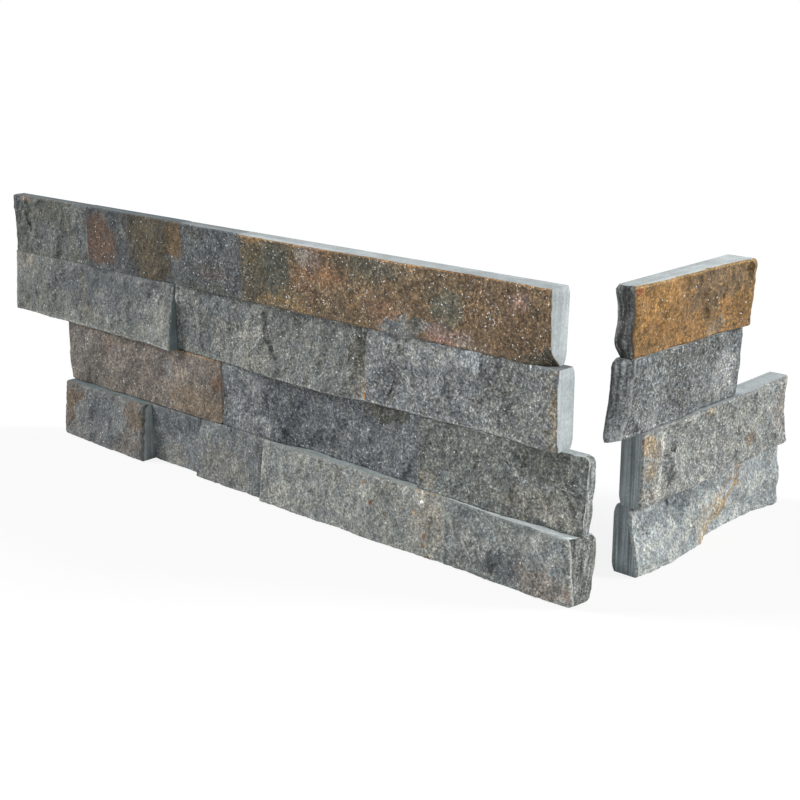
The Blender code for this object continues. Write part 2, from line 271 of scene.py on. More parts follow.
LOOKS["long_row1_d"] = Look(
    (0.152, 0.106, 0.061), (0.27, 0.2, 0.125), (0.05, 0.042, 0.028),
    streak=0, sparkle=0.6, flecks=0.5, arris=(0.1, 0.5, 0.4, 0.5), flakes=0.7,
    leans=((1, -1.8, -0.6),), bed=(0.31, 0.34, 0.348),
    shape=(Swell(0, 32, 14, 30, -0.9), Swell(216, 36, 36, 50, 1.9), Swell(217, -1, 12, 10, -5.5)),
    marks=(
        Patch(14, 20, 34, 30, (0.088, 0.076, 0.047), 0.9), Patch(28, 23, 13, 15, (0.07, 0.076, 0.062), 0.8),
        Patch(4, 10, 9, 18, (0.07, 0.067, 0.054), 0.7), Patch(12, 35, 7, 2.5, (0.234, 0.141, 0.066), 0.8),
        Patch(36, 4, 26, 4, (0.198, 0.136, 0.066), 0.7), Patch(58, 31, 11, 8, (0.235, 0.232, 0.225), 0.95),
        Patch(68, 28, 18, 11, (0.185, 0.097, 0.05), 0.6), Patch(50, 19, 10, 8, (0.165, 0.092, 0.05), 0.6),
        Patch(92, 31, 22, 8, (0.09, 0.078, 0.05), 0.7), Patch(104, 33, 22, 5, DARK_GREEN, 0.5),
        Patch(149, 18, 12, 9, (0.083, 0.088, 0.07), 0.85),
        Patch(107, 11, 15, 7, (0.205, 0.118, 0.076), 0.6), Patch(116, 2, 13, 8, BLUE_GREY, 1),
        Patch(130, 7, 8, 6, (0.171, 0.172, 0.158), 0.9), Patch(136, 5, 5, 4, (0.252, 0.264, 0.273), 0.8),
        Patch(150, 4, 17, 6, (0.235, 0.165, 0.14), 0.85), Patch(144, 2, 9, 2.5, (0.235, 0.118, 0.09), 0.6),
        Patch(168, 2, 16, 4, (0.18, 0.154, 0.128), 0.8), Patch(185, 16, 28, 24, (0.122, 0.079, 0.044), 0.8),
        Patch(196, 29, 7, 5, PINK, 0.5), Patch(208, 2, 14, 6, (0.055, 0.051, 0.038), 0.9),
        Vein(0, 36.9, 214, 36.9, 1.0, RUST_ORANGE, 0.8),
    ),
)
LOOKS["long_row2_a"] = Look(
    (0.164, 0.173, 0.162), (0.252, 0.264, 0.246), (0.081, 0.091, 0.091),
    flecks=0.1, arris=(0.6, 0.6, 0.6, 0.1), flakes=0.8,
    leans=((-1, 1, -1.3),), bed=SAWN_BLUE_SHADED, end=((0.14, 0.18, 0.19), 1.5),
    shape=(Swell(172, 8, 36, 36, 2.8),),
    marks=(
        Patch(12, 36, 12, 7, BEIGE, 0.5), Patch(92, 26, 60, 15, (0.115, 0.128, 0.133), 0.75),
        Patch(116, 14, 18, 13, (0.115, 0.128, 0.13), 0.65), Patch(60, 30, 16, 8, DARK_BLUE, 0.5),
        Patch(112, 36, 62, 10, (0.108, 0.12, 0.125), 0.75),
        Patch(163, 11, 14, 16, (0.215, 0.225, 0.208), 0.8),
        Patch(146, 3, 18, 9, (0.215, 0.225, 0.208), 0.8),
        Vein(74, 36, 78, 20, 2.6, (0.18, 0.15, 0.095), 0.45),
        Vein(78, 20, 80, 4, 2.0, (0.17, 0.115, 0.06), 0.6), Vein(30, 0.5, 167, 0.5, 1.4, PALE_GREY, 0.6),
    ),
)
LOOKS["long_row2_b"] = Look(
    (0.149, 0.158, 0.152), (0.263, 0.275, 0.267), (0.066, 0.071, 0.07),
    streak=-8, flecks=0.5, arris=(0.3, 0.5, 0.7, 0.2), flakes=1.1,
    bed=SAWN_BLUE_SHADED,
    shape=(
        Swell(24, 41, 44, 12, -1.8), Step(91, 8, 81, 18, 1.6, 12), Step(81, 18, 77, 34, 1.5, 12),
        Swell(70, 24, 20, 14, 1.0),
    ),
    marks=(
        # By the step: the pale patch at 72, 25 and the pale line left of it are painted light; the dark
        # lines along it are a crack and painted shade, and the dark patch at 90, 22 is painted shade
        Patch(66, 14, 30, 17, (0.207, 0.211, 0.194), 0.5), Patch(72, 25, 11, 11, (0.215, 0.218, 0.2), 0.6),
        Patch(44, 32, 24, 8, BLUE_GREY, 0.6), Patch(20, 14, 16, 12, BLUE_GREY, 0.4),
        Vein(77, 33, 81, 18, 0.9, CRACK_AND_STEP_SHADE, 0.35), Vein(81, 18, 90, 9, 0.9, CRACK_AND_STEP_SHADE, 0.5),
        Vein(75.5, 33, 82.5, 20, 1.0, PALE_GREY, 0.5), Patch(90, 22, 9, 13, (0.105, 0.111, 0.106), 0.6),
        Patch(152, 27, 9, 12, (0.07, 0.068, 0.053), 0.85), Patch(153, 8, 7, 9, BEIGE, 0.5),
        Vein(150, 20, 157, 14, 1.3, (0.226, 0.18, 0.126), 0.6),
        Vein(90, 0.5, 157, 0.5, 1.3, PALE_GREY, 0.8), Vein(156.4, 18, 156.4, 2, 1.2, RUST_ORANGE, 0.85),
    ),
)
LOOKS["long_row2_c"] = Look(
    (0.167, 0.18, 0.184), (0.335, 0.357, 0.364), (0.065, 0.072, 0.078),
    streak=-12, flecks=0.6, arris=(0.3, 0.5, 0.5, 0.5), flakes=1.1,
    bed=(0.15, 0.165, 0.165),
    shape=(
        Step(28, 25, 21, 32, 1.4, 8), Step(21, 32, 18, 38, 1.2, 8), Step(15, 6, 19, 16, 1.0, 5),
        Swell(13, 31, 12, 9, 1.0), Swell(128, 12, 44, 60, 3.6),
    ),
    marks=(
        Patch(26, 34, 12, 6, PALE_GREY, 0.4), Patch(50, 34, 18, 5, PALE_GREY, 0.4),
        Patch(72, 33, 12, 6, (0.27, 0.301, 0.325), 0.5), Patch(98, 18, 26, 22, (0.135, 0.141, 0.131), 0.6),
        Patch(121, 18, 4, 25, (0.2, 0.175, 0.125), 0.6),
        Vein(122, 32, 122, 4, 0.9, (0.27, 0.17, 0.08), 0.4), Vein(18, 14, 15.5, 6, 0.8, CRACK_AND_STEP_SHADE, 0.8),
        Vein(0, 0.5, 112, 0.5, 1.4, PALE_GREY, 0.45),
    ),
)
LOOKS["long_row3_a"] = Look(
    (0.162, 0.141, 0.123), (0.275, 0.25, 0.228), (0.081, 0.067, 0.058),
    streak=35, sparkle=0.3, flecks=0.15, arris=(0.6, 0.7, 0.7, 0.3), flakes=0.45,
    chips=((1, 0, 4), (1, 1, 2.5)), leans=((-1, 1.4, 0.8),), bed=SAWN_BLUE_SHADED,
    marks=(
        Patch(101, 26, 4, 7, (0.285, 0.278, 0.262), 0.7), Patch(114, 24, 12, 5, (0.237, 0.206, 0.179), 0.6),
        Patch(42, 29, 5, 7, (0.199, 0.115, 0.068), 0.4), Patch(20, 22, 26, 18, (0.119, 0.115, 0.109), 0.5),
        Vein(105, 37.9, 151, 37.9, 1.6, (0.247, 0.158, 0.078), 0.7),
        Patch(128, 8, 28, 11, (0.199, 0.152, 0.102), 0.7), Patch(148, 26, 3, 10, (0.18, 0.106, 0.063), 0.6),
    ),
)
LOOKS["long_row3_b"] = Look(
    (0.125, 0.137, 0.145), (0.235, 0.252, 0.264), (0.055, 0.062, 0.069),
    streak=12, flecks=0.6, arris=(0.3, 0.2, 0.4, 0.3), flakes=1.1,
    bed=SAWN_BLUE_SHADED,
    shape=(Step(58, 3, 46, 13, 2.2, 9), Step(46, 13, 35, 16, 2.0, 9), Swell(43, 6, 14, 9, 1.2)),
    marks=(
        Patch(14, 20, 20, 24, (0.163, 0.176, 0.184), 0.7), Patch(60, 16, 26, 13, DARK_BLUE, 0.6),
        Patch(84, 26, 26, 8, DARK_BLUE, 0.45), Patch(130, 35, 18, 6, DARK_OLIVE, 0.7),
        Patch(28, 24, 5, 9, PALE_GREY, 0.35), Patch(36, 8, 8, 5, PALE_GREY, 0.35),
    ),
)
LOOKS["long_row3_c"] = Look(
    (0.128, 0.14, 0.134), (0.245, 0.262, 0.25), (0.053, 0.06, 0.056),
    streak=-20, flecks=0.6, arris=(0.1, 0.6, 0.4, 0.3), flakes=1.2,
    corners=((1, 1, 2.5),),
    shape=(Step(70, 24, 56, 33, 1.4, 8), Step(97, 8, 89, 20, 1.6, 8), Swell(96, 4, 12, 10, 0.8)),
    marks=(
        Vein(54, 31, 64, 20, 1.6, PALE_GREY, 0.6), Vein(64, 22, 88, 2, 1.3, (0.262, 0.277, 0.268), 0.5),
        Vein(83, 26, 90, 10, 0.9, PALE_GREY, 0.6), Vein(71, 17, 76, 10, 0.8, CRACK_AND_STEP_SHADE, 0.6),
        Patch(72, 8, 24, 9, (0.213, 0.203, 0.177), 0.6), Patch(92, 6, 10, 9, (0.252, 0.252, 0.232), 0.6),
        Patch(78, 29, 20, 8, (0.075, 0.08, 0.066), 0.6), Patch(4, 5, 6, 5, BEIGE, 0.6),
    ),
    natural=Natural(
        1, (0.2, 0.213, 0.207), (0.36, 0.38, 0.37), (0.1, 0.11, 0.11), (0.46, 0.47, 0.45), (), edge_in=-3.5,
        reach=(0, 0.5, 0.5, 1, 0.5),
    ),
)
LOOKS["long_row4_a"] = Look(
    (0.144, 0.149, 0.147), (0.233, 0.235, 0.23), (0.07, 0.077, 0.084),
    streak=8, sparkle=0.1, flecks=0.15, arris=(1.2, 1.6, 1.0, 1.5), flakes=0.5,
    corners=((-1, 0, 3), (-1, 1, 2.4)), leans=((-1, 1.6, 2),), bed=(0.17, 0.215, 0.225),
    end=((0.35, 0.39, 0.4), 1.5),
    marks=(
        Patch(40, 19, 26, 14, BLUE_GREY, 0.8), Patch(30, 22, 14, 8, DARK_BLUE, 0.4),
        Patch(8, 30, 12, 8, (0.12, 0.078, 0.042), 0.85), Patch(3, 18, 5, 12, (0.12, 0.078, 0.042), 0.8),
        Patch(74, 26, 9, 11, (0.135, 0.096, 0.06), 0.7), Patch(66, 8, 14, 7, (0.13, 0.105, 0.082), 0.6),
        Patch(18, 33, 20, 3, BLUE_GREY, 0.6),
    ),
)
LOOKS["long_row4_b"] = Look(
    (0.179, 0.194, 0.201), (0.315, 0.338, 0.345), (0.084, 0.096, 0.106),
    streak=-10, flecks=0.2, arris=(0.3, 0.2, 0.8, 0.2), flakes=0.35,
    bed=SAWN_BLUE_SHADED,
    marks=(Patch(24, 28, 30, 10, DARK_BLUE, 0.6), Patch(22, 7, 14, 7, (0.252, 0.245, 0.213), 0.6)),
)
LOOKS["long_row4_c"] = Look(
    (0.169, 0.18, 0.179), (0.27, 0.283, 0.278), (0.084, 0.094, 0.101),
    flecks=0.1, arris=(0.2, 0.3, 0.8, 0.2), flakes=0.5,
    bed=SAWN_BLUE_SHADED,
    marks=(
        Patch(24, 31, 34, 5, BLUE_GREY, 0.8), Patch(26, 12, 22, 11, (0.2, 0.197, 0.177), 0.7),
        Patch(54, 16, 8, 20, BLUE_GREY, 0.8),
    ),
)
LOOKS["long_row4_d"] = Look(
    (0.247, 0.257, 0.242), (0.378, 0.391, 0.371), (0.126, 0.139, 0.136),
    streak=-6, sparkle=0.1, flecks=0.2, arris=(1.3, 0.1, 0.8, 1.0), flakes=0.6,
    bed=(0.3, 0.335, 0.335),
    shape=(Swell(137, 24, 14, 50, -1.4),),
    marks=(
        Patch(14, 24, 10, 14, (0.158, 0.182, 0.18), 0.5), Patch(52, 14, 20, 12, (0.2, 0.219, 0.221), 0.5),
        Patch(100, 12, 16, 12, (0.2, 0.219, 0.213), 0.5), Patch(126, 22, 11, 15, (0.315, 0.3, 0.262), 0.7),
        Patch(81, 31, 1.6, 1.4, (0.24, 0.14, 0.075), 0.9), Patch(87, 21, 1.4, 1.4, (0.22, 0.115, 0.065), 1),
        Patch(117, 23, 1.3, 1.5, (0.26, 0.16, 0.08), 0.8),
        Patch(124, 12, 1.3, 1.9, (0.26, 0.15, 0.075), 0.9),
        Patch(123, 7, 1.8, 1.5, (0.17, 0.11, 0.06), 0.85), Patch(126, 0.5, 2.2, 1.6, RUST_BROWN, 0.8),
        Patch(97, 17, 1.3, 1.3, RUST_BROWN, 0.7), Patch(122, 30, 1.1, 1.1, (0.8, 0.8, 0.8), 1),
        Vein(0.6, 35, 0.6, 0, 1.6, PALE_GREY, 0.8),
        Vein(116, 34.8, 132, 34.8, 1.4, (0.27, 0.235, 0.17), 0.6),
    ),
)
LOOKS["long_row4_e"] = Look(
    (0.175, 0.192, 0.189), (0.31, 0.335, 0.331), (0.08, 0.091, 0.095),
    streak=-10, sparkle=0.1, flecks=0.3, arris=(0.1, 0.6, 1.0, 0.7), flakes=0.8,
    corners=((1, 0, 3.5), (1, 1, 1.5)), bed=(0.46, 0.505, 0.51),
    shape=(Swell(0, 18, 18, 46, 1.3), Swell(70, 38, 24, 16, 0.8), Swell(44, 40, 60, 14, 1.0)),
    marks=(
        Patch(18, 15, 10, 7, (0.3, 0.309, 0.284), 0.7), Patch(40, 10, 24, 8, DARK_BLUE, 0.5),
        Patch(62, 8, 16, 8, (0.205, 0.17, 0.147), 0.6), Patch(77, 4, 5, 5, PINK, 0.5),
        Patch(66, 26, 16, 9, (0.25, 0.268, 0.263), 0.5), Vein(78, 34, 80, 2, 2.4, (0.36, 0.37, 0.35), 0.8),
    ),
    natural=Natural(
        1, (0.14, 0.15, 0.138), (0.39, 0.4, 0.38), (0.045, 0.05, 0.045), (0.5, 0.51, 0.49),
        (Band(15, 2.0, (0.24, 0.24, 0.21), 0.5),), edge_in=0, reach=(0, 0, 0, 0.5, 0),
    ),
)
LOOKS["return_row1"] = Look(
    (0.26, 0.147, 0.053), (0.416, 0.266, 0.12), (0.114, 0.074, 0.036),
    streak=-6, sparkle=0.1, flecks=0.2, arris=(0.4, 1.2, 1.0, 0.8), flakes=1.1,
    corners=((1, 1, 1.5), (-1, 1, 1.5)), leans=((1, 1, -0.6),),
    shape=(Swell(104, 2, 30, 28, 1.6),),
    marks=(
        Patch(62, 25, 18, 13, (0.161, 0.109, 0.06), 0.85),
        Patch(84, 28, 15, 11, (0.172, 0.119, 0.064), 0.8), Patch(66, 12, 6, 8, (0.156, 0.103, 0.05), 0.6),
        Patch(22, 24, 16, 12, (0.322, 0.176, 0.056), 0.6),
        Patch(4, 32.5, 2.2, 1.8, (0.33, 0.09, 0.045), 0.8), Patch(73, 4, 8, 5, (0.218, 0.18, 0.124), 0.75),
        Patch(46, 3, 10, 3, (0.354, 0.199, 0.068), 0.6),
        Vein(0, 34.7, 100, 34.7, 1.2, (0.395, 0.257, 0.112), 0.8),
    ),
    natural=Natural(
        -1, (0.088, 0.093, 0.09), (0.28, 0.29, 0.285), (0.024, 0.026, 0.025), (0.09, 0.065, 0.05),
        (Band(5.5, 1.4, (0.02, 0.02, 0.02), 0.8), Band(12, 1.2, (0.25, 0.26, 0.25), 0.6)), edge_in=0,
        reach=(1.5, 4, 3, 0.5, 0, 1, 2),
    ),
)
LOOKS["return_row2"] = Look(
    (0.155, 0.168, 0.169), (0.33, 0.348, 0.35), (0.06, 0.067, 0.07),
    streak=-12, sparkle=0.1, flecks=0.7, arris=(0.6, 0.8, 0.8, 0.4), flakes=1.0,
    corners=((-1, 1, 1.5),), leans=((1, 3.4, 0.4),),
    shape=(Swell(52, -4, 120, 14, -2.2),),
    marks=(
        Patch(91, 16, 12, 14, (0.32, 0.335, 0.33), 0.85), Patch(60, 34, 36, 5, DARK_OLIVE, 0.4),
        Patch(46, 20, 20, 11, (0.11, 0.116, 0.111), 0.5), Vein(0, 0.2, 106, 0.2, 1.0, CRACK_AND_STEP_SHADE, 0.5),
        Patch(24, 4, 28, 6, (0.21, 0.222, 0.227), 0.5),
    ),
    natural=Natural(
        -1, (0.2, 0.215, 0.22), (0.37, 0.39, 0.395), (0.08, 0.086, 0.088), (0.44, 0.45, 0.43),
        (Band(9.5, 1.3, (0.06, 0.063, 0.065), 0.7),), edge_in=4.5, reach=(3, 2.2, 1.6, 1.6, 1.8, 2.6),
    ),
)
LOOKS["return_row3"] = Look(
    (0.25, 0.26, 0.248), (0.418, 0.426, 0.416), (0.112, 0.12, 0.117),
    streak=-14, sparkle=0.1, flecks=0.45, arris=(1.2, 1.2, 1.0, 1.0), flakes=1.2,
    leans=((1, 1.4, 0),), bed=SAWN_GREY, end=(SAWN_GREY, 2.6),
    shape=(Swell(142, 2, 26, 26, 1.0), Swell(60, 42, 110, 14, 2.6)),
    marks=(
        Patch(5, 32, 6, 5, (0.3, 0.21, 0.1), 0.7), Patch(14, 27, 7, 4, (0.29, 0.215, 0.125), 0.6),
        # The near-white diagonal line from 22, 34 to 16, 4 is painted light on a ridge
        Patch(7, 18, 5, 6, (0.29, 0.21, 0.12), 0.6), Vein(22, 34, 16, 4, 2.6, (0.48, 0.48, 0.45), 0.75),
        Patch(104, 13, 7, 5, (0.173, 0.13, 0.081), 0.7), Patch(70, 33, 26, 8, (0.148, 0.156, 0.149), 0.5),
        Patch(138, 20, 5, 11, (0.224, 0.172, 0.157), 0.5), Patch(8, 5, 7, 5, (0.224, 0.187, 0.162), 0.5),
        Patch(62, 37, 4, 1.6, (0.3, 0.21, 0.1), 0.5),
        Vein(0, 37.2, 108, 37.2, 1.3, (0.42, 0.435, 0.42), 0.4),
    ),
)
LOOKS["return_row4"] = Look(
    (0.36, 0.388, 0.386), (0.53, 0.555, 0.55), (0.18, 0.2, 0.208),
    streak=60, sparkle=0.1, flecks=0.0, arris=(1.2, 1.3, 1.2, 0.6), flakes=1.0,
    corners=((1, 0, 2),), leans=((1, 2, 0.4),), end=((0.255, 0.285, 0.3), 3.2),
    shape=(Step(66, 27, 22, 18, 0.8, 9), Swell(141, 0, 26, 30, 1.6)),
    marks=(
        # Along the top: the two dark bands are partly darker mineral layers and partly painted shade under
        # the row above; the dark line at the top edge is a painted shadow
        Patch(30, 26, 30, 6, (0.16, 0.182, 0.192), 0.7), Patch(62, 30, 26, 5, (0.17, 0.192, 0.2), 0.6),
        Vein(0, 34.8, 110, 34.8, 2.0, (0.09, 0.1, 0.104), 0.6),
        Vein(99, 36, 95, 24, 2.2, (0.4, 0.26, 0.13), 0.8),
        Vein(95, 24, 80, 18, 2.4, (0.4, 0.27, 0.14), 0.7),
        Vein(80, 18, 74, 8, 3.4, (0.41, 0.29, 0.15), 0.75),
        Vein(74, 10, 60, 1, 3.8, (0.41, 0.3, 0.17), 0.7),
        Vein(90, 30, 72, 20, 3.0, (0.38, 0.31, 0.22), 0.55), Patch(66, 12, 14, 8, (0.37, 0.33, 0.26), 0.6),
        Patch(78, 14, 6, 7, (0.37, 0.27, 0.14), 0.6), Patch(64, 4, 9, 5, (0.39, 0.29, 0.16), 0.65),
        Patch(96, 27, 3, 8, (0.38, 0.255, 0.13), 0.5), Patch(120, 30, 26, 7, (0.253, 0.28, 0.294), 0.5),
    ),
)


def hashed(u, v, seed):
    """A fixed pseudo-random number from 0 to 1 for each whole u and v."""
    low_bits = 0xFFFFFFFF
    number = u.astype(np.int64) * 374761393 + v.astype(np.int64) * 668265263 + seed * 974634777
    number &= low_bits
    number = ((number ^ (number >> 13)) * 1274126177) & low_bits
    return ((number ^ (number >> 16)) & 0xFFFF) / 65536


def gradient_noise(u, v, seed):
    """Smooth noise between about -1 and 1."""
    cell_u, cell_v = np.floor(u), np.floor(v)
    part_u, part_v = u - cell_u, v - cell_v

    def corner(step_u, step_v):
        angle = hashed(cell_u + step_u, cell_v + step_v, seed) * 2 * math.pi
        return np.cos(angle) * (part_u - step_u) + np.sin(angle) * (part_v - step_v)

    ease_u = part_u ** 3 * (part_u * (part_u * 6 - 15) + 10)
    ease_v = part_v ** 3 * (part_v * (part_v * 6 - 15) + 10)
    low = corner(0, 0) + ease_u * (corner(1, 0) - corner(0, 0))
    high = corner(0, 1) + ease_u * (corner(1, 1) - corner(0, 1))
    return 1.5 * (low + ease_v * (high - low))


def layered(layers, u, v, seed):
    """Sum of noise layers, each with its own wavelength and height."""
    return sum(
        height * gradient_noise(u / wavelength, v / wavelength, seed + number)
        for number, (wavelength, height) in enumerate(layers)
    )


def smooth_step(value):
    value = np.clip(value, 0, 1)
    return value * value * (3 - 2 * value)


def cubic_along(grid, count):
    """The grid's first axis at count + 1 even places, by smooth curves through its values."""
    places = np.linspace(0, len(grid) - 1, count + 1)
    index = np.minimum(places.astype(int), len(grid) - 2)
    t = (places - index).reshape(-1, *[1] * (grid.ndim - 1))
    padded = np.concatenate([grid[:1], grid, grid[-1:]])
    a, b, c, d = (padded[index + step] for step in range(4))
    return b + 0.5 * t * (c - a + t * (2 * a - 5 * b + 4 * c - d + t * (3 * (b - c) + d - a)))


def softened(grid):
    """The grid with each value eased twice towards its neighbours along both axes."""
    for _ in range(2):
        padded = np.pad(grid, 1, mode="edge")
        grid = (padded[:-2, 1:-1] + 2 * grid + padded[2:, 1:-1]) / 4
        padded = np.pad(grid, 1, mode="edge")
        grid = (padded[1:-1, :-2] + 2 * grid + padded[1:-1, 2:]) / 4
    return grid


def filled(grid):
    """The grid with each missing value taken from the nearest ones along its row or column."""
    grid = grid.copy()
    for turned in (grid, grid.T):
        for line in turned:
            good = np.flatnonzero(~np.isnan(line))
            if len(good):
                line[:] = np.interp(np.arange(len(line)), good, line[good])
    return grid


def panel_turn(name):
    """The turn about Z that makes a stone's split face look along -Y."""
    return -math.pi / 2 if name.startswith("return") else 0


class PackedStone:
    """A packed stone in millimetres, turned so that its split face looks along -Y."""

    def __init__(self, name):
        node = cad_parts[name]
        self.turn = Matrix.Rotation(panel_turn(name), 4, "Z")
        corners = [self.turn @ vertex.co / MM for vertex in node.data.vertices]
        self.tree = BVHTree.FromPolygons(corners, [tuple(face.vertices) for face in node.data.polygons])
        places = np.array(corners)
        self.low = places.min(0)
        self.high = places.max(0)

    def cast(self, start, way):
        """Where a ray meets the stone, or None."""
        return self.tree.ray_cast(Vector(start), Vector(way))[0]

    def cast_from_front(self, x, z):
        return self.cast((x, self.low[1] - RAY_START, z), (0, 1, 0))

    def heights(self, rows, inset):
        return np.linspace(self.low[2] + inset, self.high[2] - inset, rows)

    def split_face(self, columns, rows, lefts, rights):
        """Y of the split face on a grid that reaches from its left arris to its right one."""
        grid = np.full((columns, rows), np.nan)
        limit = (self.low[1] + self.high[1]) / 2 + FACE_BEHIND
        for row, z in enumerate(self.heights(rows, READ_INSET)):
            for column, x in enumerate(np.linspace(lefts[row], rights[row], columns)):
                hit = self.cast_from_front(x, z)
                if hit is not None and hit.y < limit:
                    grid[column, row] = hit.y
        return filled(grid)

    def arris(self, side, rows):
        """X of the line where the split face turns into a natural end, at even heights."""
        outer = self.high[0] if side > 0 else self.low[0]
        xs = outer - side * np.arange(ARRIS_SEARCH, ARRIS_STEP / 2, -ARRIS_STEP)
        line = []
        for z in self.heights(rows, READ_INSET):
            hits = [self.cast_from_front(x, z) for x in xs]
            ys = np.array([hit.y if hit is not None else self.high[1] for hit in hits])
            steep = np.flatnonzero(np.diff(ys) > ARRIS_STEP)
            line.append(xs[steep[0]] if len(steep) else xs[-1])
        return softened(np.array(line)[:, None])[:, 0]

    def rear(self):
        """Y of the rear at even heights."""
        x = (self.low[0] + self.high[0]) / 2
        y = self.high[1] + RAY_START
        return np.array([self.cast((x, y, z), (0, -1, 0)).y for z in self.heights(REAR_READS, REAR_INSET)])

    def end(self, side, fronts, rears):
        """X of a natural end by height and share of depth. Side is -1 at the left, 1 at the right."""
        start = self.high[0] + RAY_START if side > 0 else self.low[0] - RAY_START
        grid = np.full((len(fronts), len(END_SHARES)), np.nan)
        for row, z in enumerate(self.heights(len(fronts), END_INSET)):
            for column, share in enumerate(END_SHARES):
                y = fronts[row] + (rears[row] - fronts[row]) * share
                hit = self.cast((start, y, z), (-side, 0, 0))
                if hit is not None and abs(hit.x - start) < RAY_START + END_SEARCH:
                    grid[row, column] = hit.x
        return filled(grid)


def whole_steps(length):
    """How many steps of the pitch fit in a length, as a multiple of the rear's step."""
    return REAR_STEP * max(2, round(length / (PITCH * REAR_STEP)))


def flake_scars(along, up, seed):
    """Shallow shells that meet in sharp ridges, as flakes leave them on split stone."""
    cell_along, cell_up = np.floor(along), np.floor(up)
    height = np.full(along.shape, np.inf)
    for step in np.ndindex(3, 3):
        u, v = cell_along + step[0] - 1, cell_up + step[1] - 1
        chances = [hashed(u, v, seed + number) for number in range(5)]
        aside = along - u - chances[0]
        above = up - v - chances[1]
        bowl = SCAR_BOWL * (aside ** 2 + above ** 2)
        lean = (chances[2] - 0.5) * aside + (chances[3] - 0.5) * above
        height = np.minimum(height, bowl + SCAR_LEAN * lean + SCAR_LIFT * chances[4])
    return 3 * (height - 0.3)


def step_drop(step, along, up):
    """How far the face falls on the right of a step's line, less and less away from it."""
    run_along, run_up = step.to_along - step.along, step.to_up - step.up
    length = math.hypot(run_along, run_up)
    wander, wave = STEP_WANDER
    off_along = along - step.along + wander * gradient_noise(along / wave, up / wave, 71)
    off_up = up - step.up + wander * gradient_noise(along / wave, up / wave, 72)
    share = (off_along * run_along + off_up * run_up) / length ** 2
    right = (off_along * run_up - off_up * run_along) / length
    beside = smooth_step(share * 2.5 + 0.5) * smooth_step((1 - share) * 2.5 + 0.5)
    return step.drop * beside * smooth_step(right / STEP_WIDTH) * np.exp(-np.maximum(right, 0) / step.run)


def own_shape(along, up, look):
    """Height of the stone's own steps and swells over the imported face."""
    height = 0 * along
    for shape in look.shape:
        if isinstance(shape, Step):
            height -= step_drop(shape, along, up)
        else:
            across = (along - shape.along) / shape.radius_along
            above = (up - shape.up) / shape.radius_up
            height += shape.height * smooth_step(1 - np.hypot(across, above))
    return height


def fine_relief(along, up, look, seed):
    """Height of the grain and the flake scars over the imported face, and that of the grain alone."""
    lean = math.radians(look.streak)
    across = along * math.cos(lean) - up * math.sin(lean)
    with_grain = (along * math.sin(lean) + up * math.cos(lean)) / 1.2
    grain = layered(FINE_LAYERS, across, with_grain, seed)
    wander, wave = FLAKE_WANDER
    wavy_across = across + wander * gradient_noise(along / wave, up / wave, seed + 21)
    wavy_along = with_grain + wander * gradient_noise(along / wave, up / wave, seed + 22)
    relief = grain.copy()
    for number, (size, share) in enumerate(FLAKE_LAYERS):
        scars = flake_scars(wavy_across / size, wavy_along / size, seed + 30 + 10 * number)
        relief += look.flakes * share * scars
    return relief, grain


def arris_drop(distance, radius):
    """How far the face falls back near an edge that is worn round."""
    inside = np.clip(1 - distance / radius, 0, 1)
    return radius * (1 - np.sqrt(1 - inside ** 2))


def edge_wear(distances, along, up, look, seed):
    """How far the face falls back by its edges, more at a chip, and its distance from a free edge."""
    rough = 1 + 0.5 * gradient_noise(along / WEAR_WAVE, up / WEAR_WAVE, seed + 31)
    chip = 3 * np.clip(gradient_noise(along / CHIP_WAVE, up / CHIP_WAVE, seed + 32) - 0.35, 0, 1)
    drops, free = [], []
    for distance, radius in zip(distances, look.arris):
        drops.append(arris_drop(distance, radius * (rough + chip)))
        free.append(distance + (0 if radius >= FREE_ARRIS else FAR_IN))
    return np.maximum.reduce(drops), np.minimum.reduce(free)


